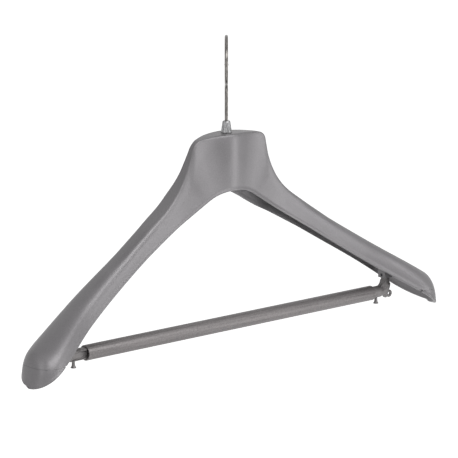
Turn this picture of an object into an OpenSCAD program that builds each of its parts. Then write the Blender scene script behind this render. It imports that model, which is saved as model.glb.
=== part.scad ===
// Wide-shouldered suit hanger with a round trouser bar and a swivelling wire hook.
// Origin: the point of the hook that rests on the rail. +X right, +Y back, +Z up. Millimetres.

/* [Shoulder outline, seen from the front] */
// Overall width from tip to tip
body_w = 450; // [440:2:470]
// Width of the flat-topped neck
neck_w = 77.4; // [74:0.2:80]
// Height of the shallow crown over the neck's corners
crown_rise = 3.7; // [3:0.1:4.4]
// Radius of the neck's upper corners
neck_corner_r = 9.2; // [7:0.2:9.8]
// Half width at the foot of the neck's flank
flank_x = 50.3; // [49:0.1:54]
// Drop from the neck top to the foot of the flank
flank_drop = 46.5; // [45:0.5:50]
// Radius where the flank sweeps into the arm
flank_r = 75; // [60:1:76]
// Half width at the middle bend of the arm
arm_x = 113.6; // [108:0.4:122]
// Drop from the neck top to the middle bend
arm_drop = 89; // [87:0.5:91]
// Radius of the arm's gentle bends
arm_r = 150; // [100:5:200]
// Distance of the shoulder's end corner from the tip
shoulder_in = 4.8; // [4:0.2:8]
// Drop from the neck top to the shoulder's end corner
shoulder_drop = 153.8; // [151:0.1:156]
// Radius of the shoulder's end corner
shoulder_r = 15; // [12:0.5:18]
// Drop from the neck top to the tip
tip_drop = 181.2; // [179:0.1:184]
// Drop from the neck top to the underside arch
arch_drop = 48.8; // [47:0.1:50]
// Half width of the arch's flat middle
arch_x = 13.9; // [13.5:0.1:15]
// Radius of the arch's haunches
arch_r = 48; // [40:1:48]
// Half width at the lower edge's bend
lower_x = 91.4; // [86:0.3:96.2]
// Drop from the neck top to the lower edge's bend
lower_drop = 95.6; // [94:0.1:97]

/* [Shoulder depth, front to back] */
// Half depth of the neck at the hook
neck_half = 11.5; // [9:0.1:12]
// Half depth of the neck halfway to its corners
lens_half = 7.7; // [6:0.1:8.5]
// Half depth of the neck three quarters of the way to its corners
lens_end_half = 5; // [4.2:0.1:6]
// Half depth at the neck's corners
corner_half = 3.1; // [2.9:0.1:4]
// Half depth on the neck's flanks
flank_half = 5.2; // [4.6:0.1:6]
// Half depth where the arm begins
root_half = 8.8; // [8:0.1:10]
// Half depth in the middle of the arm
mid_half = 10.7; // [10:0.1:12]
// Half depth at the bar socket
outer_half = 15.4; // [13.5:0.1:16.5]
// Half depth at the rounded shoulder
shoulder_half = 21.7; // [19:0.1:23]
// Backward offset of the centre line halfway to the neck's corners
lens_back = 0.7; // [0:0.1:1.5]
// Forward offset of the centre line at the neck's corners
corner_front = 2.2; // [1:0.1:3]
// Backward offset of the centre line on the neck's flanks
flank_back = 0.9; // [0:0.1:2]
// Backward offset of the centre line where the arm begins
root_back = 4.4; // [3:0.1:6]
// Backward offset of the centre line in the middle of the arm
mid_back = 1.4; // [0:0.1:3]
// Forward offset of the centre line at the bar socket
outer_front = 4.4; // [3:0.1:6]
// Forward offset of the centre line at the rounded shoulder
shoulder_front = 14.2; // [13:0.1:17]
// Forward offset of the centre line at the tip
tip_front = 18.6; // [17:0.1:20]
// How much deeper the shoulder would be at the tip if it weren't rounded off
tip_more = 1.7; // [1:0.1:4]
// Length over which the tip rounds off in plan
tip_round = 22.5; // [18:0.5:26]
// Fullness of the tip's rounding in plan; 2 is an ellipse
tip_full = 2.2; // [2:0.1:3]
// How far the rear lower edge hangs below the front one in the middle of the arch
arch_rear_low = 1.6; // [1:0.1:4]
// How far it hangs below the front one at the arch's haunches
haunch_rear_low = 5.6; // [4:0.1:7]
// How far the rear lower edge lies above the front one at the tip
tip_rear_high = 1.7; // [1:0.1:4]
// Wall of the moulded shell
wall = 2.2; // [1.8:0.1:2.6]

/* [Shoulder caps] */
// Drop from the neck top to the seam of the caps
seam_drop = 164; // [163:0.2:166]
// Length of a cap along the width of the hanger
cap_l = 25.5; // [25:0.5:26]
// Width of the seam line
seam_gap = 0.2; // [0.15:0.05:0.4]
// Height of the tongue that stands up inside the shell
tongue_h = 4; // [3:0.5:6]
// Thickness of the tongue
tongue_t = 1.4; // [1:0.1:2]
// Width of the tongue, front to back
tongue_w = 22; // [18:0.5:23]
// Length of the tongue along the width of the hanger
tongue_l = 8; // [7:0.5:9]

/* [Hook] */
// Height of the rail seat above the neck top
hook_rise = 80.4; // [76:0.2:90]
// Diameter of the hook's wire
wire_d = 3; // [2.5:0.1:3.4]
// Radius of the hook's loop at the wire's middle
loop_r = 20; // [18:0.5:22]
// Radius of the bend between stem and loop
bend_r = 10; // [8:0.5:12]
// How far the loop reaches past its widest point, in degrees
loop_past = 20; // [0:1:40]
// Turn of the hook about its stem, in degrees
hook_turn = 50; // [0:1:90]
// Diameter of the ferrule at its top
ferrule_top_d = 6.9; // [6:0.1:8]
// Diameter of the ferrule at its base
ferrule_base_d = 9.4; // [9:0.1:11]
// Height of the ferrule
ferrule_h = 9.6; // [8:0.2:12]
// Number of flutes round the ferrule
flutes = 8; // [6:1:12]
// Depth of a flute
flute_depth = 0.35; // [0.2:0.05:0.5]
// Running gap between ferrule and neck top
ferrule_gap = 0.3; // [0.2:0.05:0.6]

/* [Swivel in the neck] */
// Outer diameter of the bush
bush_d = 7; // [6.4:0.1:7.6]
// Radial clearance between wire and bush
swivel_gap = 0.05; // [0.03:0.01:0.1]
// Depth of the bush's top edge below the neck top
bush_sink = 0.8; // [0.4:0.1:1.2]
// Diameter of the moulded boss round the bush
boss_d = 13; // [12:0.2:14]
// Depth of the boss below the neck top
boss_h = 11; // [9:0.5:13]
// Diameter of the bush's flange
flange_d = 10; // [9:0.2:10.4]
// Thickness of the bush's flange
flange_t = 1.2; // [0.8:0.1:1.6]
// Running gap between flange and washer
washer_gap = 0.3; // [0.2:0.05:0.5]
// Diameter of the washer
washer_d = 9; // [8:0.2:10]
// Thickness of the washer
washer_t = 0.8; // [0.6:0.1:1.2]
// Diameter of the push-on clip
clip_d = 8; // [7:0.2:9]
// Thickness of the push-on clip
clip_t = 0.6; // [0.4:0.1:1]
// Diameter of the swaged head of the wire
head_d = 4.4; // [4:0.1:5]
// Height of the swaged head
head_h = 1.6; // [1.2:0.1:2.4]

/* [Trouser bar] */
// Outer diameter of the bar's tube
bar_d = 13.2; // [12.6:0.1:14]
// Wall of the tube
bar_wall = 1.3; // [1.1:0.1:1.5]
// Distance from each stem to the tube's end while the tube lies in the middle
bar_room = 20; // [19:0.5:22]
// Sideways play taken up by the tube as it lies
bar_shift = 2.8; // [0:0.1:3]
// Radial clearance between tube and spigot
bar_gap = 0.1; // [0.05:0.01:0.1]
// Drop from the neck top to the bar's axis
bar_drop = 165.4; // [164:0.2:168]
// Forward offset of the bar's axis
bar_front = 6.5; // [6:0.1:8]

/* [Bar elbows] */
// Distance of each stem inside the tip
stem_inset = 44; // [42:0.5:46]
// Diameter of a stem below its socket
stem_d = 7.8; // [7.4:0.1:8]
// Diameter of a stem inside its socket
stem_top_d = 6.2; // [5.6:0.1:6.4]
// Radial fit between stem and socket
stem_fit = 0.05; // [0.03:0.01:0.1]
// Radius of the elbow's bend at its middle
elbow_r = 6; // [5.5:0.1:6.5]
// Diameter of the elbow in its bend
elbow_d = 9.6; // [9:0.1:10]
// Radius of the fillet plate inside the bend
fillet_r = 6; // [4:0.5:7]
// Thickness of the fillet plate
fillet_t = 5; // [4:0.5:6]
// Length of the spigot inside the tube
spigot_l = 14; // [10:1:20]
// Distance of the cored recess from the stem
recess_in = 7; // [6.5:0.5:9]
// Thickness of the web left beside the cored recess
web_t = 3; // [2.4:0.2:4]
// Thickness of the rims above and below the recess
rim_t = 1.8; // [1.4:0.1:2.2]
// Distance of the skirt peg from the stem
peg_in = 11.1; // [10.5:0.1:12]
// Length of the skirt peg below the elbow
peg_l = 5.6; // [5:0.1:7]
// Diameter of the skirt peg's neck
peg_d = 2.6; // [2.2:0.1:3]
// Diameter of the skirt peg's flared foot
peg_foot_d = 4.9; // [4.4:0.1:5.4]
// Distance of the eyelet outside the stem
eye_out = 4.3; // [3.8:0.1:4.6]
// Distance of the eyelet below the bar's axis
eye_drop = 3.7; // [3.2:0.1:4]
// Outer diameter of the eyelet
eye_d = 6.8; // [6.4:0.1:7.4]
// Diameter of the eyelet's hole
eye_hole_d = 3; // [2.6:0.1:3.4]
// Thickness of the eyelet
eye_t = 1.8; // [1.6:0.1:3]

/* [Bar sockets] */
// Width of a square socket
socket_w = 9; // [8.8:0.1:10]
// Height of the socket's foot above the bar's axis
socket_up = 11.9; // [11.5:0.1:12.6]
// Length of stem inside the socket
stem_in = 14; // [11:0.5:16]
// Diameter of the cross pins
pin_d = 2.8; // [2.4:0.1:3]
// Radial fit of the cross pins
pin_fit = 0.05; // [0.03:0.01:0.1]
// Length of a cross pin
pin_l = 8; // [7:0.2:8.6]
// Height of the cross pins above the socket's foot
pin_up = 2.6; // [2.4:0.1:4]

/* [Hidden] */

$fn = 64;
// Curve pieces: segments across a section (odd), round a corner, and the longest station step
across = 17;
corner_steps = 6;
station_step = 9;
half_w = body_w / 2;
neck_half_w = neck_w / 2;

// Section squareness at the neck, in the middle of the arm and at the shoulder
square_knots = [[0, 20], [neck_half_w, 9], [70, 4.5], [110, 2.9], [half_w - 65, 2.3],
                [half_w - 20, 2.05], [half_w, 2.05]];
// Places along the half width at which depth, centre line and rear edge are given
lens_at = neck_half_w / 2;
lens_end_at = 0.75 * neck_half_w;
flank_at = neck_half_w + 6;
root_at = 60;
mid_at = 110;
outer_at = half_w - 65;
shoulder_at = half_w - 25;
depth_knots = [[0, neck_half], [lens_at, lens_half], [lens_end_at, lens_end_half],
               [neck_half_w, corner_half], [flank_at, flank_half], [root_at, root_half], [mid_at, mid_half],
               [outer_at, outer_half], [shoulder_at, shoulder_half], [half_w, shoulder_half + tip_more]];
centre_knots = [[0, 0], [lens_at, lens_back], [lens_end_at, -0.3 * corner_front],
                [neck_half_w, -corner_front], [flank_at, flank_back], [root_at, root_back], [mid_at, mid_back],
                [outer_at, -outer_front], [shoulder_at, -shoulder_front], [half_w, -tip_front]];
rear_knots = [[0, -arch_rear_low], [lens_at, -haunch_rear_low], [neck_half_w, -haunch_rear_low],
              [root_at, -3.2], [mid_at, -0.5], [outer_at, 2.2], [shoulder_at, tip_rear_high],
              [half_w, tip_rear_high]];

// Smooth curve through knots, level at the first one
function rise(k, i) =
    i == 0 ? 0 :
    i == len(k) - 1 ? (k[i][1] - k[i - 1][1]) / (k[i][0] - k[i - 1][0]) :
    (k[i + 1][1] - k[i - 1][1]) / (k[i + 1][0] - k[i - 1][0]);
function span(k, x, i = 0) = (i >= len(k) - 2 || x < k[i + 1][0]) ? i : span(k, x, i + 1);
function curve(k, x) =
    let (i = span(k, x), h = k[i + 1][0] - k[i][0], t = min(1, max(0, (x - k[i][0]) / h)))
    k[i][1] * (2 * t^3 - 3 * t^2 + 1) + rise(k, i) * h * (t^3 - 2 * t^2 + t)
    + k[i + 1][1] * (3 * t^2 - 2 * t^3) + rise(k, i + 1) * h * (t^3 - t^2);

// Path through corners [x, z, radius], each corner rounded by an arc
function unit(v) = v / norm(v);
function flat(p) = [p[0], p[1]];
function arc(a, b, c, r, n) =
    let (
        u = unit(a - b),
        v = unit(c - b),
        half = acos(u * v) / 2,
        mid = b + unit(u + v) * r / sin(half),
        start = b + u * r / tan(half),
        from = atan2(start[1] - mid[1], start[0] - mid[0]),
        turn = (u[0] * v[1] - u[1] * v[0] > 0 ? -1 : 1) * (180 - 2 * half)
    )
    [for (k = [0:n]) mid + r * [cos(from + turn * k / n), sin(from + turn * k / n)]];
function rounded(c) = concat(
    [flat(c[0])],
    [for (i = [1:len(c) - 2])
        each arc(flat(c[i - 1]), flat(c[i]), flat(c[i + 1]), c[i][2], corner_steps)],
    [flat(c[len(c) - 1])]);
// The same path with no step longer than s
function filled(p, s) = [
    for (i = [0:len(p) - 2])
        let (n = max(1, ceil(norm(p[i + 1] - p[i]) / s)))
        for (k = [0:n - 1]) p[i] + (p[i + 1] - p[i]) * k / n,
    p[len(p) - 1]];

// Upper outline from the neck's middle to the tip, and the front lower edge
crown_r = (neck_half_w^2 + crown_rise^2) / (2 * crown_rise);
crown_pts = [for (i = [0:5]) let (x = neck_half_w * i / 6) [x, sqrt(crown_r^2 - x^2) - crown_r]];
tip_pt = [half_w, -tip_drop];
shoulder_pt = [half_w - shoulder_in, -shoulder_drop];
function top_path(last) = concat(
    [for (i = [0:4]) crown_pts[i]],
    rounded([crown_pts[5], [neck_half_w, -crown_rise, neck_corner_r], [flank_x, -flank_drop, flank_r],
             [arm_x, -arm_drop, arm_r], concat(shoulder_pt, shoulder_r), last]));
low_path = rounded([[0, -arch_drop], [arch_x, -arch_drop, arch_r], [lower_x, -lower_drop, arm_r], tip_pt]);
low_match = [[0, 0], [flank_x, 0.55 * flank_x], [half_w - 30, half_w - 40], [half_w, half_w]];

// One side of a section: points from the front lower edge over the top to the rear lower edge
function section(top, inset) =
    let (
        bx = lookup(top[0], low_match),
        low = [bx, lookup(bx, low_path)],
        in_top = top + unit(low - top) * inset,
        n = lookup(bx, square_knots),
        rear = curve(rear_knots, bx),
        end = half_w - inset
    )
    [for (k = [0:across])
        let (
            a = 180 * k / across,
            cy = sign(cos(a)) * pow(abs(cos(a)), 2 / n),
            sz = pow(sin(a), 2 / n),
            lift = rear * (1 - cy) / 2,
            x = low[0] + (in_top[0] - low[0]) * sz,
            z = low[1] + lift + (in_top[1] - low[1] - lift) * sz,
            t = min(1, max(0, (x - end + tip_round) / tip_round)),
            outer = curve(depth_knots, x),
            half = max(outer - inset, 0.25 * outer) * sqrt(1 - pow(t, tip_full))
        )
        [x, curve(centre_knots, x) - half * cy, z]];
function backwards(list) = [for (i = [len(list) - 1:-1:0]) list[i]];
function mirrored(list) = [for (p = list) [-p[0], p[1], p[2]]];

// Solid through rings of equal length; each end is closed by a strip across the ring
module loft(rings) {
    m = len(rings[0]);
    last = (len(rings) - 1) * m;
    sides = [for (i = [0:len(rings) - 2]) for (j = [0:m - 1])
        let (a = i * m + j, b = i * m + (j + 1) % m) each [[a, b, b + m], [a, b + m, a + m]]];
    first_end = [for (j = [0:m / 2 - 2]) each
        [[m - 1 - j, m - 2 - j, j + 1], [m - 1 - j, j + 1, j]]];
    last_end = [for (j = [0:m / 2 - 2]) each
        [[last + j, last + j + 1, last + m - 2 - j], [last + j, last + m - 2 - j, last + m - 1 - j]]];
    polyhedron(points = [for (r = rings) each r], faces = concat(sides, first_end, last_end),
               convexity = 8);
}

// Closed solid of the right arm's outer shape, moved inward by inset, between two half widths
module arm_solid(from_x, to, inset) {
    stations = [for (p = filled(top_path(to), station_step)) if (p[0] >= from_x) p];
    loft([for (p = stations) section(p, inset)]);
}

// The shell stops just below the seam, where the cap takes over
cap_x = half_w - cap_l;
shell_end_part = (seam_drop + 4 - shoulder_drop) / (tip_drop - shoulder_drop);
shell_end = shoulder_pt + (tip_pt - shoulder_pt) * shell_end_part;
near_tip = shoulder_pt + (tip_pt - shoulder_pt) * 0.96;
pocket_tip = shoulder_pt + (tip_pt - shoulder_pt) * 0.4;

stem_x = half_w - stem_inset;
bar_l = 2 * (stem_x - bar_room);
bar_y = -bar_front;
socket_foot = -bar_drop + socket_up;
pin_z = socket_foot + pin_up;

module in_neck_frame() {
    translate([0, 0, -hook_rise]) children();
}
module both_sides() {
    children();
    mirror([1, 0, 0]) children();
}

module shell() {
    stations = filled(top_path(shell_end), station_step);
    right = [for (p = stations) concat(section(p, 0), backwards(section(p, wall)))];
    left = [for (i = [len(right) - 1:-1:1]) mirrored(right[i])];
    loft(concat(left, right));
}

module hanger_body() {
    color([0.6, 0.6, 0.61]) in_neck_frame() difference() {
        union() {
            shell();
            translate([0, 0, -boss_h]) cylinder(d = boss_d, h = boss_h - wall / 2);
            both_sides() intersection() {
                translate([stem_x - socket_w / 2, bar_y - socket_w / 2, socket_foot])
                    cube([socket_w, socket_w, 40]);
                arm_and_foot();
            }
        }
        translate([0, 0, -boss_h - 1]) cylinder(d = bush_d, h = boss_h + 3);
        both_sides() {
            translate([stem_x, bar_y, socket_foot - 1])
                cylinder(d = stem_top_d + 2 * stem_fit, h = stem_in + 2);
            translate([stem_x - socket_w, bar_y, pin_z]) rotate([0, 90, 0])
                cylinder(d = pin_d + 2 * pin_fit, h = 2 * socket_w);
            translate([cap_x, -70, -seam_drop - 60]) cube([60, 120, 60]);
        }
    }
}

// Space that a socket may fill: half a wall inside the arm, and the foot below its edge
module arm_and_foot() {
    foot_h = lookup(stem_x, low_path) - socket_foot + 9;
    arm_solid(stem_x - 30, shell_end, wall / 2);
    translate([stem_x - socket_w, bar_y - socket_w, socket_foot])
        cube([2 * socket_w, 2 * socket_w, foot_h]);
}

// Cap below the seam: hollow from below, with a hollow tongue that stands up inside the shell
module right_cap() {
    from_x = cap_x + seam_gap;
    tongue_x = from_x + wall;
    tongue_y = curve(centre_knots, tongue_x) - tongue_w / 2;
    in_neck_frame() difference() {
        union() {
            intersection() {
                arm_solid(half_w - 34, near_tip, 0);
                translate([from_x, -70, -seam_drop - seam_gap - 60]) cube([60, 120, 60]);
            }
            translate([tongue_x, tongue_y, -seam_drop - 1]) cube([tongue_l, tongue_w, 1 + tongue_h]);
        }
        translate([tongue_x + tongue_t, tongue_y + tongue_t, -seam_drop - 1.5])
            cube([tongue_l - 2 * tongue_t, tongue_w - 2 * tongue_t, tongue_h + 3]);
        intersection() {
            translate([0, 0, -0.6]) arm_solid(half_w - 34, pocket_tip, wall);
            translate([from_x, -70, -seam_drop - seam_gap - wall - 60]) cube([60, 120, 60]);
        }
    }
}
module shoulder_cap_left() {
    color([0.58, 0.58, 0.59]) mirror([1, 0, 0]) right_cap();
}
module shoulder_cap_right() {
    color([0.58, 0.58, 0.59]) right_cap();
}

// Hook: stem, bend away from the loop, loop over the rail
wire_r = wire_d / 2;
loop_z = wire_r - loop_r;
bend_z = loop_z - sqrt((loop_r + bend_r)^2 - bend_r^2);
join_a = acos(bend_r / (loop_r + bend_r));
// Swell of the rounded tip, and of the small beads that close the wire where its arcs meet
tip_swell = 0.3;
weld = 0.04;
washer_top = -boss_h - flange_t - washer_gap;
clip_top = washer_top - washer_t;
head_top = clip_top - clip_t;

module hook_wire() {
    stem_foot = -hook_rise + head_top;
    gap_loop = weld / loop_r * 180 / PI;
    gap_bend = weld / bend_r * 180 / PI;
    color([0.8, 0.8, 0.8]) rotate([0, 0, hook_turn]) {
        translate([0, 0, loop_z]) rotate([90, 0, 0]) rotate([0, 0, -loop_past])
            rotate_extrude(angle = 180 + join_a + loop_past - gap_loop)
                translate([loop_r, 0]) circle(r = wire_r);
        translate([0, 0, loop_z]) rotate([0, loop_past, 0]) translate([loop_r, 0, 0])
            sphere(r = wire_r + tip_swell);
        translate([-bend_r, 0, bend_z]) rotate([90, 0, 0]) {
            rotate([0, 0, gap_bend]) rotate_extrude(angle = join_a - 2 * gap_bend)
                translate([bend_r, 0]) circle(r = wire_r);
            rotate([0, 0, join_a]) translate([bend_r, 0, 0]) sphere(r = wire_r + weld);
        }
        translate([0, 0, bend_z]) sphere(r = wire_r + weld);
        translate([0, 0, stem_foot]) cylinder(r = wire_r, h = bend_z - weld - stem_foot);
        translate([0, 0, stem_foot - head_h]) cylinder(r1 = wire_r, r2 = head_d / 2, h = head_h);
    }
}

module hook_ferrule() {
    flare = atan((ferrule_base_d - ferrule_top_d) / 2 / ferrule_h);
    flute_r = 0.9;
    lip = 0.9;
    color([0.7, 0.7, 0.71]) in_neck_frame() translate([0, 0, ferrule_gap]) rotate([0, 0, hook_turn])
        difference() {
            union() {
                cylinder(d1 = ferrule_base_d, d2 = ferrule_top_d, h = ferrule_h - lip);
                translate([0, 0, ferrule_h - lip])
                    cylinder(d1 = ferrule_top_d, d2 = ferrule_top_d - lip, h = lip);
            }
            translate([0, 0, -1]) cylinder(r = wire_r + 0.01, h = ferrule_h + 2);
            for (i = [0:flutes - 1]) rotate([0, 0, i * 360 / flutes])
                translate([ferrule_base_d / 2 + flute_r - flute_depth, 0, 1.2]) rotate([0, -flare, 0])
                    cylinder(r = flute_r, h = ferrule_h - lip - 1.8, $fn = 24);
        }
}

module hook_bush() {
    color([0.85, 0.85, 0.82]) in_neck_frame() difference() {
        union() {
            translate([0, 0, -boss_h]) cylinder(d = bush_d, h = boss_h - bush_sink);
            translate([0, 0, -boss_h - flange_t]) cylinder(d = flange_d, h = flange_t);
        }
        translate([0, 0, -boss_h - flange_t - 1])
            cylinder(r = wire_r + swivel_gap, h = boss_h + flange_t + 2);
    }
}

module hook_washer() {
    color([0.75, 0.75, 0.75]) in_neck_frame() translate([0, 0, clip_top]) difference() {
        cylinder(d = washer_d, h = washer_t);
        translate([0, 0, -1]) cylinder(r = wire_r + 0.01, h = washer_t + 2);
    }
}

// Push-on clip: a thin disc whose middle is slit into gripping tabs
module hook_clip() {
    color([0.35, 0.35, 0.36]) in_neck_frame() translate([0, 0, head_top]) difference() {
        cylinder(d = clip_d, h = clip_t);
        translate([0, 0, -1]) cylinder(r = wire_r + 0.01, h = clip_t + 2);
        for (i = [0:4]) rotate([0, 0, i * 72])
            translate([0, -0.25, -1]) cube([clip_d / 2 - 1.2, 0.5, clip_t + 2]);
    }
}

module bar_tube() {
    color([0.56, 0.56, 0.57]) in_neck_frame() translate([bar_shift - bar_l / 2, bar_y, -bar_drop])
        rotate([0, 90, 0]) difference() {
            cylinder(d = bar_d, h = bar_l, $fn = 96);
            translate([0, 0, -1]) cylinder(d = bar_d - 2 * bar_wall, h = bar_l + 2, $fn = 96);
        }
}

// Elbow with its stem on the origin's axis and its spigot along +X, the recess on the front
spigot_d = bar_d - 2 * bar_wall - 2 * bar_gap;
spigot_end = stem_x - bar_l / 2 + spigot_l;
module elbow() {
    step = 1.5;
    fillet_at = sqrt(elbow_d^2 - fillet_t^2) / 2 + fillet_r - 0.1;
    lobe_d = 4.4;
    lobe_in = 4.1;
    lobe_drop = 1.1;
    difference() {
        union() {
            translate([0, 0, elbow_r + step]) {
                cylinder(d = stem_top_d, h = socket_up + stem_in - elbow_r - step);
                cylinder(d = stem_d, h = socket_up - stem_fit - elbow_r - step);
            }
            translate([0, 0, elbow_r]) cylinder(d1 = elbow_d, d2 = stem_d, h = step);
            translate([elbow_r, 0, elbow_r]) rotate([90, 0, 0]) rotate([0, 0, 180])
                rotate_extrude(angle = 90) translate([elbow_r, 0]) circle(d = elbow_d);
            translate([elbow_r, 0, 0]) rotate([0, 90, 0]) cylinder(d1 = elbow_d, d2 = spigot_d, h = step);
            translate([elbow_r + step, 0, 0]) rotate([0, 90, 0])
                cylinder(d = spigot_d, h = spigot_end - elbow_r - 2 * step);
            translate([spigot_end - step, 0, 0]) rotate([0, 90, 0])
                cylinder(d1 = spigot_d, d2 = spigot_d - step, h = step);
            difference() {
                translate([0, -fillet_t / 2, 0]) cube([fillet_at, fillet_t, fillet_at]);
                translate([fillet_at, fillet_t, fillet_at]) rotate([90, 0, 0])
                    cylinder(r = fillet_r, h = 2 * fillet_t);
            }
            translate([-eye_out, eye_t / 2, -eye_drop]) rotate([90, 0, 0]) cylinder(d = eye_d, h = eye_t);
            translate([lobe_in - eye_out, eye_t / 2, -eye_drop - lobe_drop]) rotate([90, 0, 0])
                cylinder(d = lobe_d, h = eye_t);
            translate([peg_in, 0, 0]) rotate_extrude() skirt_peg();
        }
        translate([-eye_out, eye_t, -eye_drop]) rotate([90, 0, 0]) cylinder(d = eye_hole_d, h = 2 * eye_t);
        translate([0, 0, socket_up + pin_up]) rotate([0, 90, 0])
            cylinder(d = pin_d + 2 * pin_fit, h = 2 * stem_d, center = true);
        translate([recess_in, web_t / 2 - spigot_d, rim_t - spigot_d / 2])
            cube([spigot_end - recess_in - 3, spigot_d - web_t, spigot_d - 2 * rim_t]);
    }
}
// Outline of the skirt peg, from the spigot's lower rim down
module skirt_peg() {
    foot = spigot_d / 2 + peg_l;
    head = (spigot_d - rim_t) / 2;
    polygon([[0, -head], [peg_d / 2, -head], [peg_d / 2, -spigot_d / 2 - 1],
             [peg_d / 2 + 0.25, 1.9 - foot], [peg_foot_d / 2, 0.5 - foot],
             [peg_foot_d / 2 - 0.2, 0.1 - foot], [peg_foot_d / 2 - 0.6, -foot], [0, -foot]]);
}
module bar_elbow_left() {
    color([0.55, 0.55, 0.56]) in_neck_frame() translate([-stem_x, bar_y, -bar_drop]) elbow();
}
module bar_elbow_right() {
    color([0.55, 0.55, 0.56]) in_neck_frame() translate([stem_x, bar_y, -bar_drop])
        rotate([0, 0, 180]) elbow();
}
module elbow_pins() {
    color([0.4, 0.4, 0.41]) in_neck_frame() for (side = [-1, 1])
        translate([side * stem_x, bar_y, pin_z]) rotate([0, 90, 0])
            cylinder(d = pin_d, h = pin_l, center = true);
}

hanger_body();
shoulder_cap_left();
shoulder_cap_right();
hook_wire();
hook_ferrule();
hook_bush();
hook_washer();
hook_clip();
bar_tube();
bar_elbow_left();
bar_elbow_right();
elbow_pins();
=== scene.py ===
from math import acos, ceil, cos, hypot, pi, radians, sin, sqrt, tan

import bmesh
import bpy
from bpy.props import FloatProperty, FloatVectorProperty, IntProperty, PointerProperty
from mathutils import Matrix, Vector


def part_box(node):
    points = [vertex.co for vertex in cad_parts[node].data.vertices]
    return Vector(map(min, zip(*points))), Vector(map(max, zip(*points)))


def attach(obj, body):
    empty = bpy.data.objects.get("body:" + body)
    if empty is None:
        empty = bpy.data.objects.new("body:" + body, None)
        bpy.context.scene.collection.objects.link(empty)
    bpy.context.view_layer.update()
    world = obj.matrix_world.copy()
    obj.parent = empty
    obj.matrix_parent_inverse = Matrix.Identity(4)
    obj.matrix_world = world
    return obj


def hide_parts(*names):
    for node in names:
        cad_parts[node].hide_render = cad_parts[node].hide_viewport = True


bl_info = {
    "name": "Trouser hanger",
    "version": (1, 0, 0),
    "blender": (4, 5, 0),
    "location": "View3D > Sidebar > Hanger",
    "description": "Dresses the packed hanger: smooth shell, caps, bar, elbows, hook and a pale studio",
    "category": "Object",
}

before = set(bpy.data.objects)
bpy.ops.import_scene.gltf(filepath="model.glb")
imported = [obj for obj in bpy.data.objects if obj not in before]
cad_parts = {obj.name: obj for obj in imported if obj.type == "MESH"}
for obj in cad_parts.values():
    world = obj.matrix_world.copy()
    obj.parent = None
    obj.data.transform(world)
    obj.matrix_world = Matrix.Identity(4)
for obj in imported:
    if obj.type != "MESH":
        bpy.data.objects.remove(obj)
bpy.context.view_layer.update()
MM = 0.001


# Colour and node helpers


def linear(hex_colour):
    """sRGB hex text, such as 8F8F91, as a linear colour with alpha."""
    out = []
    for i in (0, 2, 4):
        c = int(hex_colour[i:i + 2], 16) / 255
        out.append(c / 12.92 if c <= 0.04045 else ((c + 0.055) / 1.055) ** 2.4)
    return (*out, 1.0)


def node(tree, kind, links=None, **settings):
    """Adds a node, sets its properties and sockets by name, and links the sockets named in links."""
    n = tree.nodes.new(kind)
    for name, value in settings.items():
        if name in n.inputs:
            n.inputs[name].default_value = value
        else:
            setattr(n, name, value)
    for socket, source in (links or {}).items():
        tree.links.new(source, n.inputs[socket])
    return n


def new_material(name):
    """An empty node material and its shader tree with an output."""
    mat = bpy.data.materials.new(name)
    mat.use_nodes = True
    tree = mat.node_tree
    tree.nodes.clear()
    return mat, tree


def finish_material(tree, shader, mat):
    node(tree, "ShaderNodeOutputMaterial", {"Surface": shader.outputs[0]})
    return mat


def shades(tree, fac, dark, light, low=0.3, high=0.7):
    """Colour ramp from dark to light over the middle of a pattern's values."""
    ramp = node(tree, "ShaderNodeValToRGB", {"Fac": fac})
    ramp.color_ramp.elements[0].position = low
    ramp.color_ramp.elements[1].position = high
    ramp.color_ramp.elements[0].color = linear(dark)
    ramp.color_ramp.elements[1].color = linear(light)
    return ramp.outputs["Color"]


def span_value(tree, fac, low, high):
    """Spreads a pattern's values over low to high."""
    return node(tree, "ShaderNodeMapRange", {"Value": fac}, **{"From Min": 0.3, "From Max": 0.7,
                "To Min": low, "To Max": high}).outputs["Result"]


def seen_directly(tree):
    """1 for rays that come straight from the camera, a reflection or a clear material, else 0."""
    path = node(tree, "ShaderNodeLightPath").outputs
    seen = path["Is Camera Ray"]
    for kind in ("Is Glossy Ray", "Is Transmission Ray"):
        seen = node(tree, "ShaderNodeMath", {0: seen, 1: path[kind]}, operation="MAXIMUM").outputs[0]
    return seen


def silver_lacquer(name, dark, light, rough=(0.4, 0.5)):
    """Silver lacquer sprayed on moulded ABS."""
    # Aluminium flake in a satin clear coat: mid grey, soft bright band where it turns to the light
    mat, tree = new_material(name)
    where = node(tree, "ShaderNodeTexCoord").outputs["Object"]
    # Flake is 0.03 mm, too fine to show here, so it is drawn 0.8 mm wide; cloudiness is 40 mm wide
    flake = node(tree, "ShaderNodeTexNoise", {"Vector": where}, Scale=1 / 0.0008, Detail=2.0).outputs["Fac"]
    cloud = node(tree, "ShaderNodeTexNoise", {"Vector": where}, Scale=1 / 0.04, Detail=3.0).outputs["Fac"]
    blend = node(tree, "ShaderNodeMix", {"A": flake, "B": cloud}, data_type="FLOAT", Factor=0.55)
    peel = node(tree, "ShaderNodeTexNoise", {"Vector": where}, Scale=1 / 0.0025, Detail=1.0).outputs["Fac"]
    bump = node(tree, "ShaderNodeBump", {"Height": peel}, Strength=0.06, Distance=0.0001)
    shader = node(tree, "ShaderNodeBsdfPrincipled",
                  {"Base Color": shades(tree, blend.outputs[0], dark, light),
                   "Roughness": span_value(tree, cloud, *rough), "Normal": bump.outputs["Normal"]},
                  **{"Metallic": 0.5, "IOR": 1.5, "Coat Weight": 0.08, "Coat Roughness": 0.3})
    return finish_material(tree, shader, mat)


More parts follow.
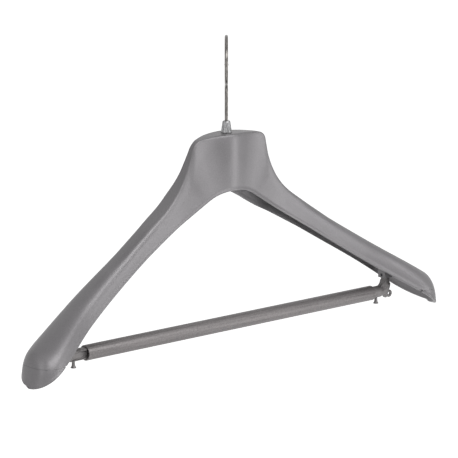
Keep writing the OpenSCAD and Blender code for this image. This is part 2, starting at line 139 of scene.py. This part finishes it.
def extruded_grain(name, dark, light):
    """Silver-grey extruded tube with fine lengthways grain."""
    # Drawing marks 0.5 mm apart run along the bar and break up its sheen
    mat, tree = new_material(name)
    where = node(tree, "ShaderNodeTexCoord").outputs["Object"]
    along = node(tree, "ShaderNodeMapping", {"Vector": where}, Scale=(0.02, 1.0, 1.0)).outputs["Vector"]
    grain = node(tree, "ShaderNodeTexNoise", {"Vector": along}, Scale=1 / 0.0009, Detail=3.0).outputs["Fac"]
    speck = node(tree, "ShaderNodeTexNoise", {"Vector": where}, Scale=1 / 0.0011, Detail=2.0).outputs["Fac"]
    mixed = node(tree, "ShaderNodeMix", {"A": grain, "B": speck}, data_type="FLOAT", Factor=0.5)
    bump = node(tree, "ShaderNodeBump", {"Height": mixed.outputs[0]}, Strength=0.3, Distance=0.00015)
    shader = node(tree, "ShaderNodeBsdfPrincipled",
                  {"Base Color": shades(tree, mixed.outputs[0], dark, light),
                   "Roughness": span_value(tree, grain, 0.4, 0.55), "Normal": bump.outputs["Normal"]},
                  **{"Metallic": 0.45, "IOR": 1.5})
    return finish_material(tree, shader, mat)


def plated_metal(name, dark, light, rough, grain=0.0006):
    """Plated steel: chromed wire or satin nickel, with faint drawing marks."""
    # Plating mirrors its surroundings; fine marks along Z soften it
    mat, tree = new_material(name)
    where = node(tree, "ShaderNodeTexCoord").outputs["Object"]
    along = node(tree, "ShaderNodeMapping", {"Vector": where}, Scale=(1.0, 1.0, 0.15)).outputs["Vector"]
    marks = node(tree, "ShaderNodeTexNoise", {"Vector": along}, Scale=1 / grain, Detail=2.0).outputs["Fac"]
    bump = node(tree, "ShaderNodeBump", {"Height": marks}, Strength=0.15, Distance=0.00005)
    shader = node(tree, "ShaderNodeBsdfPrincipled",
                  {"Base Color": shades(tree, marks, dark, light),
                   "Roughness": span_value(tree, marks, *rough), "Normal": bump.outputs["Normal"]},
                  **{"Metallic": 1.0})
    return finish_material(tree, shader, mat)


def moulded_plastic(name, dark, light, rough=(0.45, 0.6)):
    """Uncoated moulded plastic with a fine spark-eroded texture."""
    # Satin, a little mottled, no metal sparkle
    mat, tree = new_material(name)
    where = node(tree, "ShaderNodeTexCoord").outputs["Object"]
    mottle = node(tree, "ShaderNodeTexNoise", {"Vector": where}, Scale=1 / 0.003, Detail=4.0).outputs["Fac"]
    spark = node(tree, "ShaderNodeTexNoise", {"Vector": where}, Scale=1 / 0.0006, Detail=2.0).outputs["Fac"]
    bump = node(tree, "ShaderNodeBump", {"Height": spark}, Strength=0.2, Distance=0.00008)
    shader = node(tree, "ShaderNodeBsdfPrincipled",
                  {"Base Color": shades(tree, mottle, dark, light),
                   "Roughness": span_value(tree, mottle, *rough), "Normal": bump.outputs["Normal"]},
                  **{"Metallic": 0.3, "IOR": 1.5})
    return finish_material(tree, shader, mat)


# Mesh helpers


def emit(bm, name, material, body, replaced=(), smooth_angle=40, outward=True):
    """Turns a bmesh in metres into a piece that rides on a body."""
    bmesh.ops.remove_doubles(bm, verts=bm.verts, dist=1e-7)
    if outward:
        bmesh.ops.recalc_face_normals(bm, faces=bm.faces)
    for f in bm.faces:
        f.smooth = True
    mesh = bpy.data.meshes.new(name)
    bm.to_mesh(mesh)
    bm.free()
    mesh.set_sharp_from_angle(angle=radians(smooth_angle))
    mesh.materials.append(material)
    obj = bpy.data.objects.new(name, mesh)
    bpy.context.scene.collection.objects.link(obj)
    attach(obj, body)
    if replaced:
        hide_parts(*replaced)
    return obj


def dress(node_name, material):
    """Gives a carried-over CAD node its finish."""
    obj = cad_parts[node_name]
    obj.data.materials.clear()
    obj.data.materials.append(material)


# The shell's outline and sections, in millimetres from the neck's top


def curve(knots, x):
    """Smooth curve through knots, level at the first one."""
    i = 0
    while i < len(knots) - 2 and x >= knots[i + 1][0]:
        i += 1

    def rise(k):
        if k == 0:
            return 0
        if k == len(knots) - 1:
            return (knots[k][1] - knots[k - 1][1]) / (knots[k][0] - knots[k - 1][0])
        return (knots[k + 1][1] - knots[k - 1][1]) / (knots[k + 1][0] - knots[k - 1][0])

    h = knots[i + 1][0] - knots[i][0]
    t = min(1, max(0, (x - knots[i][0]) / h))
    return (knots[i][1] * (2 * t**3 - 3 * t**2 + 1) + rise(i) * h * (t**3 - 2 * t**2 + t)
            + knots[i + 1][1] * (3 * t**2 - 2 * t**3) + rise(i + 1) * h * (t**3 - t**2))


def lookup(knots, x):
    """Straight interpolation between knots, held at the ends."""
    if x <= knots[0][0]:
        return knots[0][1]
    for a, b in zip(knots, knots[1:]):
        if x <= b[0]:
            return a[1] + (b[1] - a[1]) * (x - a[0]) / (b[0] - a[0]) if b[0] > a[0] else b[1]
    return knots[-1][1]


def rounded(corners, steps):
    """Path through corners (x, z, radius), each corner rounded by an arc."""
    path = [Vector(corners[0][:2])]
    for a, b, c in zip(corners, corners[1:], corners[2:]):
        pa, pb, pc = Vector(a[:2]), Vector(b[:2]), Vector(c[:2])
        u, v = (pa - pb).normalized(), (pc - pb).normalized()
        half = acos(max(-1, min(1, u.dot(v)))) / 2
        mid = pb + (u + v).normalized() * b[2] / sin(half)
        start = pb + u * b[2] / tan(half) - mid
        turn = (pi - 2 * half) * (-1 if u.x * v.y - u.y * v.x > 0 else 1)
        path += [mid + Matrix.Rotation(turn * k / steps, 2) @ start for k in range(steps + 1)]
    path.append(Vector(corners[-1][:2]))
    return path


def filled(path, step):
    """The same path with no step longer than step."""
    out = []
    for a, b in zip(path, path[1:]):
        n = max(1, ceil((b - a).length / step))
        out += [a + (b - a) * k / n for k in range(n)]
    return out + [path[-1]]


class ShellSettings(bpy.types.PropertyGroup):
    overall_width: FloatProperty(name="Overall width", description="Width from tip to tip",
                                 default=0.450, unit="LENGTH")
    neck_width: FloatProperty(name="Neck width", description="Width of the flat-topped neck",
                              default=0.0774, unit="LENGTH")
    wall: FloatProperty(name="Wall", description="Wall of the moulded shell", default=0.0022, unit="LENGTH")
    hook_rise: FloatProperty(name="Hook rise", description="Height of the rail seat above the neck",
                             default=0.0804, unit="LENGTH")
    seam_drop: FloatProperty(name="Seam drop", description="Drop from the neck to the caps' seam",
                             default=0.164, unit="LENGTH")
    cap_length: FloatProperty(name="Cap length", description="Length of a cap along the width",
                              default=0.0255, unit="LENGTH")
    seam_gap: FloatProperty(name="Seam gap", description="Width of the seam line", default=0.00014,
                            unit="LENGTH")
    bead: FloatProperty(name="Bead", description="How far the bead along the lower edge stands proud",
                        default=0.0005, unit="LENGTH")
    bead_width: FloatProperty(name="Bead width", description="Width of the bead along the lower edge",
                              default=0.0018, unit="LENGTH")
    across: IntProperty(name="Segments across", description="Segments across a section", default=47)
    station_step: FloatProperty(name="Station step", description="Longest step between sections",
                                default=0.003, unit="LENGTH")


class BarSettings(bpy.types.PropertyGroup):
    tube_wall: FloatProperty(name="Tube wall", description="Wall of the bar's tube", default=0.0013,
                             unit="LENGTH")
    end_rounding: FloatProperty(name="End rounding", description="Rounding of the tube's open ends",
                                default=0.00025, unit="LENGTH")
    elbow_bevel: FloatProperty(name="Elbow bevel", description="Bevel on the elbows' moulded edges",
                               default=0.0002, unit="LENGTH")


class ShellShape:
    """The shell's outlines and sections from its settings, in millimetres."""

    # Share of a section's height from which the plan narrows towards the lens-shaped top, and over which
    LENS_FROM, LENS_SPAN = 0.15, 0.6

    def __init__(self, s):
        self.half = s.overall_width / MM / 2
        self.neck = s.neck_width / MM / 2
        self.wall = s.wall / MM
        self.rise = s.hook_rise / MM
        self.seam = s.seam_drop / MM
        self.cap_x = self.half - s.cap_length / MM
        self.gap = s.seam_gap / MM
        self.across = s.across
        self.step = s.station_step / MM
        # How far the skin lies behind the bead's face, by height over the lower edge
        bead, wide = s.bead / MM, s.bead_width / MM
        self.bead_knots = [(0, 0.5 * bead), (0.2 * wide, 0), (0.85 * wide, 0), (1.25 * wide, bead),
                           (2.2 * wide, bead), (8 * wide, 0)]
        half, neck = self.half, self.neck
        crown, flank, arm = 3.7, (50.3, -46.5), (113.6, -89)
        self.tip = Vector((half, -181.2))
        self.shoulder = Vector((half - 4.8, -153.8))
        self.crown_r = (neck**2 + crown**2) / (2 * crown)
        self.corners = [(neck, -crown, 9.2), (*flank, 75), (*arm, 150), (*self.shoulder, 15)]
        self.low = rounded([(0, -48.8), (13.9, -48.8, 48), (91.4, -95.6, 150), tuple(self.tip)], 16)
        self.match = [(0, 0), (flank[0], 0.55 * flank[0]), (half - 30, half - 40), (half, half)]
        self.square = [(0, 20), (neck, 9), (70, 4.5), (110, 2.9), (half - 65, 2.3), (half - 20, 2.05),
                       (half, 2.05)]
        self.depth = [(0, 11.5), (neck / 2, 7.7), (0.75 * neck, 5), (neck, 3.1), (neck + 6, 5.2), (60, 8.8),
                      (110, 10.7), (half - 65, 15.4), (half - 25, 21.7), (half, 23.4)]
        self.centre = [(0, 0), (neck / 2, 0.7), (0.75 * neck, -0.66), (neck, -2.2), (neck + 6, 0.9), (60, 4.4),
                       (110, 1.4), (half - 65, -4.4), (half - 25, -14.2), (half, -18.6)]
        # Under its lens-shaped top the neck's plan is fuller
        self.low_depth = [(0, 11.5), (neck / 2, 9.8), (neck, 9.2), (60, 9.4), *self.depth[6:]]
        self.low_centre = [(0, 0), (neck / 2, 0.9), (neck, 2.6), (60, 4.4), *self.centre[6:]]
        self.rear = [(0, -1.6), (neck / 2, -5.6), (neck, -5.6), (60, -3.2), (110, -0.5), (half - 65, 2.2),
                     (half - 25, 1.7), (half, 1.7)]
        self.tip_round = 22.5

    def top_path(self, last):
        """Upper outline from the neck's middle to last."""
        n = 6
        crown = [Vector((x, sqrt(self.crown_r**2 - x**2) - self.crown_r))
                 for x in (self.neck * i / n for i in range(n))]
        return crown[:-1] + rounded([tuple(crown[-1]), *self.corners, tuple(last)], 10)

    def end_point(self, share):
        return self.shoulder + (self.tip - self.shoulder) * share

    def stations(self, last, from_x=0):
        return [p for p in filled(self.top_path(last), self.step) if p.x >= from_x]

    def section(self, top, inset):
        """Points from the front lower edge over the top to the rear lower edge, in the row's frame."""
        bx = lookup(self.match, top.x)
        low = Vector((bx, lookup([tuple(p) for p in self.low], bx)))
        crest = top + (low - top).normalized() * min(inset, 0.6 * (low - top).length)
        height = max(0.01, (crest - low).length)
        n = lookup(self.square, bx)
        rear = curve(self.rear, bx)
        end = self.half - inset
        foot = [h for h, _ in self.bead_knots[:5]]
        heights = [h * min(1 / height, 0.5 / foot[-1]) for h in foot]
        above = heights[-1]
        heights += [above + (1 - above) * sin(pi * k / self.across) ** (2 / n)
                    for k in range(1, self.across // 2 + 1)]
        ring = []
        for front, sz in [(1, h) for h in heights] + [(-1, h) for h in reversed(heights)]:
            cy = front * (1 - sz**n) ** (1 / n)
            lift = rear * (1 - cy) / 2
            x = low.x + (crest.x - low.x) * sz
            z = low.y + lift + (crest.y - low.y - lift) * sz
            t = min(1, max(0, (x - end + self.tip_round) / self.tip_round))
            lens = min(1, max(0, (sz - self.LENS_FROM) / self.LENS_SPAN))
            lens = lens * lens * (3 - 2 * lens)
            outer = curve(self.low_depth, x) * (1 - lens) + curve(self.depth, x) * lens
            middle = curve(self.low_centre, x) * (1 - lens) + curve(self.centre, x) * lens
            half = max(outer - inset, 0.25 * outer)
            if inset == 0:
                half -= lookup(self.bead_knots, sz * height)
            half *= sqrt(1 - t**2.2)
            ring.append(Vector((x, middle - half * cy, z - self.rise)) * MM)
        return ring


def skin(rings):
    """Closed skin through rings of equal length, grown ring by ring, its two ends closed across."""
    bm = bmesh.new()
    row = bmesh.ops.create_circle(bm, segments=len(rings[0]), radius=1)["verts"]
    first = edges = bm.edges[:]
    for v, p in zip(row, rings[0]):
        v.co = p
    for ring in rings[1:]:
        geom = bmesh.ops.extrude_edge_only(bm, edges=edges)["geom"]
        grown = {v for v in geom if isinstance(v, bmesh.types.BMVert)}
        row = [next(e.other_vert(v) for e in v.link_edges if e.other_vert(v) in grown) for v in row]
        fresh = set(row)
        edges = [e for e in geom if isinstance(e, bmesh.types.BMEdge) and fresh.issuperset(e.verts)]
        for v, p in zip(row, ring):
            v.co = p
    for ends in (first, edges):
        bmesh.ops.contextual_create(bm, geom=ends)
    return bm


def copy_of(name, keep=None):
    """Merged copy of a CAD node's mesh, or of those faces of it that keep picks."""
    bm = bmesh.new()
    bm.from_mesh(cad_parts[name].data)
    bmesh.ops.remove_doubles(bm, verts=bm.verts, dist=1e-6)
    if keep:
        bmesh.ops.delete(bm, geom=[f for f in bm.faces if not keep(f)], context="FACES")
    bmesh.ops.dissolve_limit(bm, angle_limit=radians(1), verts=bm.verts, edges=bm.edges)
    return bm


def soften(bm, width, least=40):
    """Small rounded bevel on the edges that turn by more than least degrees."""
    edges = [e for e in bm.edges if e.is_manifold and e.calc_face_angle(0) > radians(least)]
    bmesh.ops.bevel(bm, geom=edges, offset=width, segments=2, affect="EDGES", profile=0.5, material=-1,
                    clamp_overlap=True)


def flipped(points):
    return [Vector((-p.x, p.y, p.z)) for p in points]


def with_edges(faces):
    """Faces with their vertices and edges, each once and in a fixed order."""
    return list(dict.fromkeys(e for f in faces for e in (*f.verts, *f.edges))) + faces


def cut(bm, origin, normal, keep=None, fill=False):
    """Cuts away what lies on the normal's side of a plane, for the faces that keep picks."""
    faces = [f for f in bm.faces if keep is None or keep(f.calc_center_median())]
    res = bmesh.ops.bisect_plane(bm, geom=with_edges(faces), dist=1e-7, plane_co=origin, plane_no=normal,
                                 clear_outer=True)
    if fill:
        rim = [e for e in res["geom_cut"] if isinstance(e, bmesh.types.BMEdge) and e.is_boundary]
        bmesh.ops.holes_fill(bm, edges=rim, sides=0)


class HANGER_OT_shell(bpy.types.Operator):
    """Moulded shell: neck and arms in one, open underneath, with the boss and the bar's sockets"""
    bl_idname = "hanger.shell"
    bl_label = "Shell"
    BORE_RADIUS, BORE_SIDES = 0.0035, 24
    # Reach of the cuts round the bore, and how far the neck's top skin may lie below the top
    BORE_REACH, SKIN_DEPTH = 0.005, 0.003
    # Just outside the boss, and the box round a square socket: across, front to back, and its foot's drop
    BOSS_REACH = 0.0066
    SOCKET_X, SOCKET_Y, SOCKET_FOOT = (0.1762, 0.1858), (-0.0113, -0.0017), 0.146

    def execute(self, context):
        shape = ShellShape(context.scene.hanger_shell)
        share = (shape.seam + 4 + shape.shoulder.y) / (shape.shoulder.y - shape.tip.y)
        right = [shape.section(p, 0) + shape.section(p, shape.wall)[::-1]
                 for p in shape.stations(shape.end_point(share))]
        bm = skin([flipped(r) for r in right[:0:-1]] + right)
        seam_z = (-shape.seam - shape.rise) * MM
        cap_x = shape.cap_x * MM
        for side in (1, -1):
            bmesh.ops.bisect_plane(bm, geom=bm.verts[:] + bm.edges[:] + bm.faces[:], dist=1e-7,
                                   plane_co=(side * cap_x, 0, 0), plane_no=(side, 0, 0))
            cut(bm, (0, 0, seam_z), (0, 0, -1), keep=lambda c: c.x * side > cap_x)
        bmesh.ops.holes_fill(bm, edges=[e for e in bm.edges if e.is_boundary], sides=0)
        neck_top = -shape.rise * MM
        self.bore(bm, neck_top)
        bmesh.ops.recalc_face_normals(bm, faces=bm.faces)
        extra = copy_of("hanger_body", lambda f: self.is_inside_part(f, neck_top))
        mesh = bpy.data.meshes.new("inside_parts")
        extra.to_mesh(mesh)
        extra.free()
        bm.from_mesh(mesh)
        bpy.data.meshes.remove(mesh)
        emit(bm, "shell", bpy.data.materials["silver_lacquer_abs"], "hanger", ("hanger_body",),
             smooth_angle=35, outward=False)
        return {"FINISHED"}

    def bore(self, bm, top):
        """Opens the neck's top for the bush, whose bore the CAD shell has."""
        radius = self.BORE_RADIUS
        for k in range(self.BORE_SIDES):
            out = Matrix.Rotation(2 * pi * k / self.BORE_SIDES, 3, "Z") @ Vector((1, 0, 0))
            near = [f for f in bm.faces if self.near_bore(f, top)]
            bmesh.ops.bisect_plane(bm, geom=with_edges(near), dist=1e-7, plane_co=out * radius, plane_no=out)
        gone = [f for f in bm.faces if self.near_bore(f, top) and f.calc_center_median().xy.length < radius]
        bmesh.ops.delete(bm, geom=gone, context="FACES")

    def near_bore(self, face, top):
        """Whether a face lies in the neck's top over the bore."""
        reach = self.BORE_REACH
        xs = [v.co.x for v in face.verts]
        ys = [v.co.y for v in face.verts]
        return (min(v.co.z for v in face.verts) > top - self.SKIN_DEPTH and min(xs) < reach
                and max(xs) > -reach and min(ys) < reach and max(ys) > -reach)

    def is_inside_part(self, face, neck_top):
        """Whether a CAD face belongs to the boss in the neck or to a square socket."""
        c = face.calc_center_median()
        in_boss = hypot(c.x, c.y) < self.BOSS_REACH and c.z < neck_top - 0.0005
        # The arm's own skin over a socket faces up, and is left out
        in_socket = (self.SOCKET_X[0] < abs(c.x) < self.SOCKET_X[1]
                     and self.SOCKET_Y[0] < c.y < self.SOCKET_Y[1]
                     and (face.normal.z < 0.3 or c.z < neck_top - self.SOCKET_FOOT))
        return in_boss or in_socket


class HANGER_OT_caps(bpy.types.Operator):
    """Shoulder caps below the seam at both tips: walls only, open from below"""
    bl_idname = "hanger.caps"
    bl_label = "Shoulder caps"

    def execute(self, context):
        shape = ShellShape(context.scene.hanger_shell)
        seam_z = (-shape.seam - shape.gap - shape.rise) * MM
        cap_x = (shape.cap_x + shape.gap) * MM
        rings = [shape.section(p, 0) + shape.section(p, shape.wall)[::-1]
                 for p in shape.stations(shape.end_point(0.985), shape.half - 40)]
        for side, name in ((1, "right"), (-1, "left")):
            bm = skin([flipped(r) for r in rings[::-1]] if side < 0 else rings)
            cut(bm, (side * cap_x, 0, 0), (-side, 0, 0), fill=True)
            cut(bm, (0, 0, seam_z), (0, 0, 1), fill=True)
            bmesh.ops.remove_doubles(bm, verts=bm.verts, dist=1e-6)
            emit(bm, f"cap_{name}", bpy.data.materials["silver_lacquer_abs"], "hanger",
                 (f"shoulder_cap_{name}",), smooth_angle=35)
        return {"FINISHED"}


class HANGER_OT_bar(bpy.types.Operator):
    """Trouser bar: a drawn tube with softened open ends"""
    bl_idname = "hanger.bar"
    bl_label = "Trouser bar"

    def execute(self, context):
        s = context.scene.hanger_bar
        low, high = (Vector(c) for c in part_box("bar_tube"))
        middle = (low + high) / 2
        outer, inner = (high.z - low.z) / 2, (high.z - low.z) / 2 - s.tube_wall
        soft = s.end_rounding
        half = [(low.x + soft, inner), (low.x, inner + soft), (low.x, outer - 1.4 * soft),
                (low.x + 0.4 * soft, outer - 0.4 * soft), (low.x + 1.4 * soft, outer)]
        profile = half + [(2 * middle.x - x, r) for x, r in reversed(half)]
        bm = bmesh.new()
        verts = [bm.verts.new((x, middle.y, middle.z + r)) for x, r in profile]
        edges = [bm.edges.new(pair) for pair in zip(verts, verts[1:] + verts[:1])]
        bmesh.ops.spin(bm, geom=verts + edges, cent=middle, axis=(1, 0, 0), angle=2 * pi, steps=128,
                       use_merge=True)
        emit(bm, "bar", bpy.data.materials["silver_drawn_bar"], "bar", ("bar_tube",))
        return {"FINISHED"}


class HANGER_OT_elbows(bpy.types.Operator):
    """Moulded elbows that carry the bar, with their edges softened"""
    bl_idname = "hanger.elbows"
    bl_label = "Bar elbows"

    def execute(self, context):
        for name in ("left", "right"):
            bm = copy_of(f"bar_elbow_{name}")
            soften(bm, context.scene.hanger_bar.elbow_bevel)
            emit(bm, f"elbow_{name}", bpy.data.materials["silver_moulded_elbow"], "hanger",
                 (f"bar_elbow_{name}",))
        return {"FINISHED"}


class HANGER_OT_finishes(bpy.types.Operator):
    """Makes the materials and gives each CAD node its finish"""
    bl_idname = "hanger.finishes"
    bl_label = "Finishes"

    def execute(self, context):
        silver_lacquer("silver_lacquer_abs", "6B696B", "7F7D7F")
        extruded_grain("silver_drawn_bar", "5E5B5B", "868282")
        moulded_plastic("silver_moulded_elbow", "6C6969", "7F7C7C")
        # The chrome's dark grey is painted reflection: it stands in for the dark surroundings the wire
        # mirrors, in place of chrome's own bright tone
        plated_metal("chromed_wire", "4E4C4A", "868380", (0.18, 0.3))
        plated_metal("satin_nickel_ferrule", "6A6A6B", "9A9A9B", (0.25, 0.4))
        plated_metal("zinc_plated_steel", "8C8F90", "A9ACAD", (0.35, 0.5))
        plated_metal("dark_spring_steel", "3A3A3C", "4A4A4D", (0.35, 0.5))
        moulded_plastic("natural_acetal_bush", "C9C8BE", "DDDCD3")
        find = bpy.data.materials.get
        for name, mat in (("hook_wire", "chromed_wire"), ("hook_ferrule", "satin_nickel_ferrule"),
                          ("hook_bush", "natural_acetal_bush"), ("hook_washer", "zinc_plated_steel"),
                          ("hook_clip", "dark_spring_steel"), ("elbow_pins", "dark_spring_steel"),
                          ("bar_tube", "silver_drawn_bar"), ("bar_elbow_left", "silver_moulded_elbow"),
                          ("bar_elbow_right", "silver_moulded_elbow"), ("hanger_body", "silver_lacquer_abs"),
                          ("shoulder_cap_left", "silver_lacquer_abs"),
                          ("shoulder_cap_right", "silver_lacquer_abs")):
            dress(name, find(mat))
        return {"FINISHED"}


class StageSettings(bpy.types.PropertyGroup):
    azimuth: FloatProperty(name="Azimuth", description="Camera's angle left of the front", default=radians(40),
                           subtype="ANGLE")
    elevation: FloatProperty(name="Elevation", description="Camera's angle above level",
                             default=radians(12.6), subtype="ANGLE")
    distance: FloatProperty(name="Distance", description="Camera's distance from its target", default=2.41686,
                            unit="LENGTH")
    focal_px: FloatProperty(name="Focal length", description="Focal length in pixels of the photograph",
                            default=2818.94)
    target: FloatVectorProperty(name="Target", description="Point that the camera looks at",
                                default=(0.003054, 0.00018, -0.16519), subtype="TRANSLATION")


class HANGER_OT_stage(bpy.types.Operator):
    """Pale floor, soft studio light and the photograph's camera"""
    bl_idname = "hanger.stage"
    bl_label = "Stage"

    def execute(self, context):
        s = context.scene.hanger_stage
        scene = context.scene
        scene.view_settings.view_transform = "Standard"
        towards = Vector((-sin(s.azimuth) * cos(s.elevation), -cos(s.azimuth) * cos(s.elevation),
                          sin(s.elevation)))
        camera = bpy.data.cameras.new("camera")
        camera.sensor_width = 36
        camera.lens = s.focal_px * 36 / 458
        camera.clip_end = 100
        eye = bpy.data.objects.new("camera", camera)
        eye.location = Vector(s.target) + towards * s.distance
        eye.rotation_euler = towards.to_track_quat("Z", "Y").to_euler()
        scene.collection.objects.link(eye)
        scene.camera = eye
        self.world(scene)
        self.floor(scene)
        self.lamp("key", (0.0, -2.4, 1.5), (3.4, 1.3), 62)
        self.lamp("fill_left", (-2.5, -0.5, 0.6), (0.8, 1.6), 9)
        self.lamp("fill_right", (2.0, -2.4, -0.6), (1.4, 1.6), 22)
        return {"FINISHED"}

    def lamp(self, name, place, size, power):
        """Soft rectangular lamp that faces the hanger's middle."""
        light = bpy.data.lights.new(name, "AREA")
        light.shape = "RECTANGLE"
        light.size, light.size_y = size
        light.energy = power
        obj = bpy.data.objects.new(name, light)
        obj.location = place
        obj.rotation_euler = (Vector(place) - Vector((0, 0, -0.2))).to_track_quat("Z", "Y").to_euler()
        bpy.context.scene.collection.objects.link(obj)

    def world(self, scene):
        """White where it is seen or mirrored, a dim room for all other light."""
        world = bpy.data.worlds.new("studio")
        scene.world = world
        world.use_nodes = True
        tree = world.node_tree
        tree.nodes.clear()
        strength = node(tree, "ShaderNodeMapRange", {"Value": seen_directly(tree)},
                        **{"To Min": 0.14, "To Max": 1.0})
        back = node(tree, "ShaderNodeBackground", {"Strength": strength.outputs["Result"]}, Color=(1, 1, 1, 1))
        node(tree, "ShaderNodeOutputWorld", {"Surface": back.outputs[0]})

    def floor(self, scene):
        """Pale floor well below the hanger, which hangs at rail height."""
        mat, tree = new_material("pale_floor")
        where = node(tree, "ShaderNodeTexCoord").outputs["Object"]
        tone = node(tree, "ShaderNodeTexNoise", {"Vector": where}, Scale=0.6, Detail=2.0).outputs["Fac"]
        matte = node(tree, "ShaderNodeBsdfDiffuse", {"Color": shades(tree, tone, "EDEDED", "F4F4F4")})
        glow = node(tree, "ShaderNodeEmission", {"Strength": seen_directly(tree)})
        both = node(tree, "ShaderNodeAddShader", {0: matte.outputs[0], 1: glow.outputs[0]})
        finish_material(tree, both, mat)
        bm = bmesh.new()
        bmesh.ops.create_grid(bm, x_segments=1, y_segments=1, size=20)
        bmesh.ops.translate(bm, verts=bm.verts, vec=(0, 0, -1.5))
        mesh = bpy.data.meshes.new("floor")
        bm.to_mesh(mesh)
        bm.free()
        mesh.materials.append(mat)
        obj = bpy.data.objects.new("floor", mesh)
        scene.collection.objects.link(obj)


class HANGER_PT_panel(bpy.types.Panel):
    """Lists the hanger's sizes and the steps that dress it"""
    bl_idname = "HANGER_PT_panel"
    bl_label = "Trouser hanger"
    bl_space_type = "VIEW_3D"
    bl_region_type = "UI"
    bl_category = "Hanger"

    def draw(self, context):
        for group in GROUPS:
            settings = getattr(context.scene, group)
            box = self.layout.box()
            for name in type(settings).__annotations__:
                box.prop(settings, name)
        for step in STEPS:
            self.layout.operator(step.bl_idname)


STEPS = (HANGER_OT_finishes, HANGER_OT_shell, HANGER_OT_caps, HANGER_OT_bar, HANGER_OT_elbows,
         HANGER_OT_stage)
GROUPS = {"hanger_shell": ShellSettings, "hanger_bar": BarSettings, "hanger_stage": StageSettings}
CLASSES = (*GROUPS.values(), *STEPS, HANGER_PT_panel)


def register():
    for cls in CLASSES:
        bpy.utils.register_class(cls)
    for name, group in GROUPS.items():
        setattr(bpy.types.Scene, name, PointerProperty(type=group))


def unregister():
    for name in GROUPS:
        delattr(bpy.types.Scene, name)
    for cls in reversed(CLASSES):
        bpy.utils.unregister_class(cls)


def main():
    register()
    bpy.ops.hanger.finishes()
    bpy.ops.hanger.shell()
    bpy.ops.hanger.caps()
    bpy.ops.hanger.bar()
    bpy.ops.hanger.elbows()
    bpy.ops.hanger.stage()


if __name__ == "__main__":
    main()
